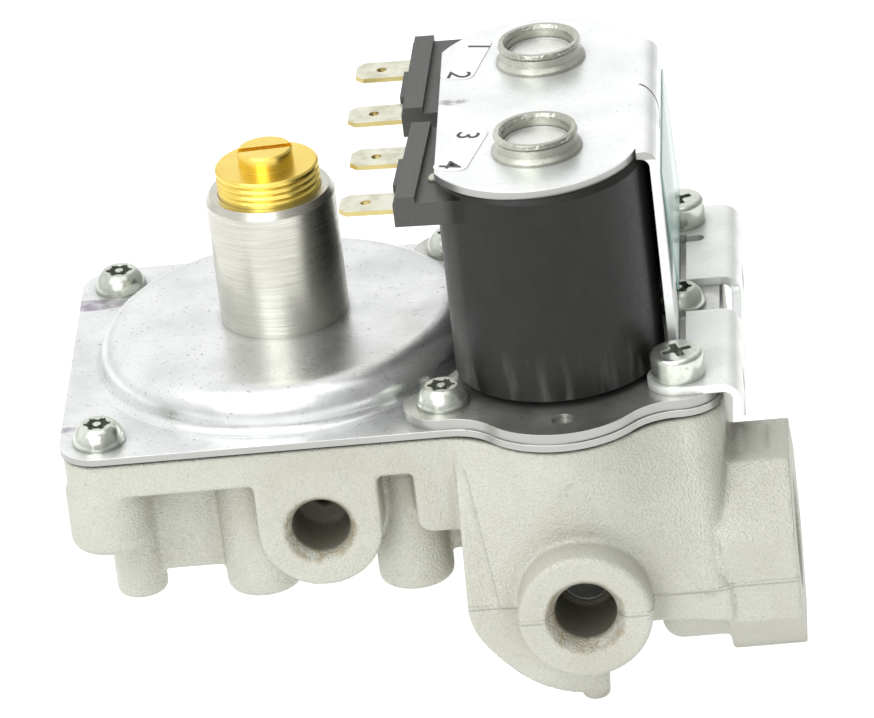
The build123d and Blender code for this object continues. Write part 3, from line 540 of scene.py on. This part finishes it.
def coil_resin():
    """Black moulding: terminal blocks greyer and chipped, faint upright marks near the base."""
    s = moulded("coil_resin", (0.012, 0.0122, 0.0100), (0.008, 0.0082, 0.0066), (0.34, 0.46), 0.36)
    block = s.within(s.axis("X"), -FAR, at(BLOCK_END_X, 0, 0).x, 2 * MM)
    base = s.mix(s.base, (0.075, 0.076, 0.07), block)
    marks = s.ramp(s.noise(330, 2, stretch=(1, 1, 0.16)), [(0.52, 0.0), (0.72, 0.5)])
    low = s.within(s.axis("Z"), -FAR, at(0, 0, MARKS_TOP_Z).z, 7 * MM)
    base = s.mix(base, (0.16, 0.16, 0.15), s.sums("MULTIPLY", marks, low))
    chips = s.sums("MULTIPLY", s.ramp(s.noise(1500, 3), [(0.66, 0.0), (0.74, 0.6)]), block)
    s.colour(s.mix(base, (0.16, 0.16, 0.15), chips))
    return s.material


def tinned_brass():
    """Tin on the flat faces, brass showing on the sheared edges."""
    s = Shader("tinned_brass", Metallic=0.85)
    normal = s.add("ShaderNodeNewGeometry").outputs["True Normal"]
    flat = s.sums("ABSOLUTE", s.axis("Z", normal))
    cloud = s.noise(400, 4)
    tin = s.ramp(cloud, [(0.35, (0.62, 0.61, 0.47)), (0.6, (0.78, 0.77, 0.65))])
    s.colour(s.mix((0.62, 0.52, 0.22), tin, s.ramp(flat, [(0.5, 0.0), (0.7, 1.0)])))
    s.rough(s.ramp(cloud, [(0.3, 0.45), (0.7, 0.3)]))
    s.bump(cloud, 0.01 * MM)
    return s.material


def film():
    """Thin translucent sheet, bluish green."""
    s = Shader("insulating_film", Roughness=0.12, Alpha=0.55)
    s.colour(s.ramp(s.noise(120, 3), [(0.3, (0.26, 0.52, 0.47)), (0.7, (0.40, 0.66, 0.60))]))
    return s.material


def ink():
    """Dark grey print, a little uneven."""
    s = Shader("label_ink", Roughness=0.5)
    s.colour(s.ramp(s.noise(2500, 2), [(0.3, 0.03), (0.7, 0.09)]))
    return s.material


def resin():
    """Pale, glassy drop."""
    s = Shader("pale_resin", Roughness=0.25, Transmission_Weight=0.35, IOR=1.5)
    s.colour(s.ramp(s.noise(900, 2), [(0.3, (0.72, 0.70, 0.56)), (0.7, (0.86, 0.85, 0.74))]))
    return s.material


def plate(name, *settings, **more):
    """Zinc plate with nothing added to it."""
    return plated(name, *settings, **more).material


materials = {
    "cast_body": cast_aluminium(),
    "zinc_cover": zinc_cover(),
    "steel_plate": plate("steel_plate", (0.66, 0.665, 0.63), (0.48, 0.48, 0.45), (0.24, 0.4),
                         specks=0.8, round_edge=0.12 * MM,
                         sheared=(at(0, 0, 0).z, at(0, 0, 1.6).z)),
    "turned_steel": turned("turned_steel", (0.70, 0.695, 0.63), (0.54, 0.53, 0.475), 5200,
                           0.012 * MM, (0.24, 0.36)),
    "brass": turned("brass", (0.96, 0.76, 0.20), (0.84, 0.62, 0.13), 3000,
                    0.01 * MM, (0.20, 0.32)),
    "gasket": moulded("gasket", (0.05, 0.05, 0.05), (0.03, 0.03, 0.03), (0.7, 0.85)).material,
    "rubber": moulded("rubber", (0.03, 0.03, 0.03), (0.02, 0.02, 0.02), (0.55, 0.7)).material,
    "adjuster_plastic": moulded("adjuster_plastic", (0.85, 0.84, 0.8), (0.78, 0.77, 0.72)).material,
    "pan_steel": plate("pan_steel", (0.62, 0.62, 0.60), (0.45, 0.45, 0.44)),
    "spring_steel": plate("spring_steel", (0.55, 0.55, 0.54), (0.38, 0.38, 0.37)),
    "aluminium": plate("aluminium", (0.74, 0.74, 0.73), (0.58, 0.58, 0.57)),
    "coil_resin": coil_resin(),
    "tinned_brass": tinned_brass(),
    "guide_steel": plate("guide_steel", (0.96, 0.96, 0.94), (0.88, 0.88, 0.86), (0.4, 0.55)),
    "collar_zinc": collar_zinc(),
    "bracket_zinc": bracket_zinc(),
    "insulator": film(),
    "mount_zinc": plate("mount_zinc", (0.93, 0.95, 0.92), (0.82, 0.84, 0.81), (0.34, 0.46),
                        metallic=0.6),
    "screw_zinc": plate("screw_zinc", (0.72, 0.75, 0.68), (0.50, 0.53, 0.46), (0.16, 0.28),
                        round_edge=0.35 * MM),
    "label_white": moulded("label_white", (0.93, 0.93, 0.93), (0.88, 0.88, 0.88)).material,
    "screen_steel": plate("screen_steel", (0.6, 0.6, 0.6), (0.45, 0.45, 0.45)),
}

for entry in frame["record"]["subparts"]:
    obj = nodes[entry["node"]]
    obj.data.materials.clear()
    obj.data.materials.append(materials[entry["material_slot"]])


# ---- pieces ----
def piece(name, mesh, material, body):
    """A new mesh as a piece of the object, riding a body."""
    obj = bpy.data.objects.new(name, mesh)
    bpy.context.scene.collection.objects.link(obj)
    mesh.materials.clear()
    mesh.materials.append(material)
    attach(obj, body)
    return obj


def evaluated(obj):
    """The mesh that an object's modifiers make."""
    graph = bpy.context.evaluated_depsgraph_get()
    return bpy.data.meshes.new_from_object(obj.evaluated_get(graph))


WELD_GAP = 0.001 * MM
VOXEL = 0.42 * MM
KEPT_FACES = 0.3


def add_casting():
    """The die casting with its edges and corners rounded as they come from the mould."""
    source = bpy.data.objects.new("casting_source", nodes["valve_body"].data.copy())
    bpy.context.scene.collection.objects.link(source)
    for name, kind, settings in (
            ("weld", "WELD", {"merge_threshold": WELD_GAP}),
            ("remesh", "REMESH", {"mode": "VOXEL", "voxel_size": VOXEL}),
            ("smooth", "SMOOTH", {"factor": 0.5, "iterations": 5}),
            ("decimate", "DECIMATE", {"ratio": KEPT_FACES})):
        modifier = source.modifiers.new(name, kind)
        for key, value in settings.items():
            setattr(modifier, key, value)
    mesh = evaluated(source)
    bpy.data.objects.remove(source)
    mesh.polygons.foreach_set("use_smooth", [True] * len(mesh.polygons))
    print("casting faces", len(mesh.polygons))
    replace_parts(piece("rounded_casting", mesh, materials["cast_body"], "valve"),
                "valve_body")


add_casting()


NUMERAL_SIZE = 5.3 * MM
NUMERAL_WIDEN = 1.12
STROKE_WIDEN = 0.035 * MM
INK_THICKNESS = 0.01 * MM
# digit, place on the bracket's top plate, and lean of the label in degrees
NUMERALS = (("1", 36.4, 24.2, -12.5), ("2", 33.4, 13.5, -12.5),
            ("3", 35.4, -10.3, -14.0), ("4", 33.0, -21.0, -14.0))


def add_numeral(digit, x, y, lean, material):
    """A terminal number printed on its label, with its head towards the outlet."""
    curve = bpy.data.curves.new("numeral_" + digit, "FONT")
    curve.body = digit
    curve.size = NUMERAL_SIZE
    curve.align_x = "CENTER"
    curve.align_y = "CENTER"
    curve.offset = STROKE_WIDEN
    curve.extrude = INK_THICKNESS
    text = bpy.data.objects.new("numeral_source", curve)
    bpy.context.scene.collection.objects.link(text)
    mesh = evaluated(text)
    bpy.data.objects.remove(text)
    label_top = span("terminal_labels")[1].z + 2 * INK_THICKNESS
    spot = at(x, y, 0)
    turn = Matrix.Rotation(radians(lean) - pi / 2, 4, "Z")
    wide = Matrix.Diagonal((NUMERAL_WIDEN, 1, 1, 1))
    mesh.transform(Matrix.Translation((spot.x, spot.y, label_top)) @ turn @ wide)
    piece("numeral_" + digit, mesh, material, "valve")


print_ink = ink()
for numeral in NUMERALS:
    add_numeral(*numeral, print_ink)


DROP_FOOT = (30.1, -19.9, 37.25)
DROP_RINGS = ((0.0, 0.85), (0.25, 0.9), (0.55, 0.75), (0.75, 0.45))  # height, radius
DROP_SIDES = 20


def add_resin_drop():
    """Uneven drop of resin where the front terminal block meets the plate."""
    foot = at(*DROP_FOOT)
    angles = [2 * pi * i / DROP_SIDES for i in range(DROP_SIDES)]
    bm = bmesh.new()
    rings = []
    for height, radius in DROP_RINGS:
        ring = []
        for a in angles:
            out = Vector((cos(a) * (1 + 0.15 * sin(2 * a)), sin(a) * (1.1 + 0.1 * cos(3 * a)), 0))
            ring.append(bm.verts.new(foot + (out * radius + Vector((0, 0, height))) * MM))
        rings.append(ring)
    for low, high in zip(rings, rings[1:]):
        for i in range(DROP_SIDES):
            j = (i + 1) % DROP_SIDES
            bm.faces.new((low[i], low[j], high[j], high[i]))
    bm.faces.new(rings[-1])
    bm.faces.new(rings[0][::-1])
    mesh = bpy.data.meshes.new("resin_drop")
    bm.to_mesh(mesh)
    bm.free()
    mesh.polygons.foreach_set("use_smooth", [True] * len(mesh.polygons))
    piece("resin_drop", mesh, resin(), "valve")


add_resin_drop()


# ---- floor ----
FLOOR_SIZE = 6
FLOOR_GAP = 0.1 * MM


def add_floor():
    """White light table under the valve, so bright that it has no horizon."""
    bpy.ops.mesh.primitive_plane_add(
        size=FLOOR_SIZE, location=(box_mid.x, box_mid.y, box_low.z - FLOOR_GAP))
    floor = bpy.context.object
    floor.name = "floor"
    s = Shader("floor", Roughness=0.9)
    cloud = s.noise(3, 3)
    s.colour(s.ramp(cloud, [(0.4, 0.28), (0.6, 0.30)]))
    s.join(s.ramp(cloud, [(0.4, 0.96), (0.6, 0.98)]), s.main.inputs["Emission Color"])
    s.main.inputs["Emission Strength"].default_value = 1.0
    floor.data.materials.append(s.material)


add_floor()
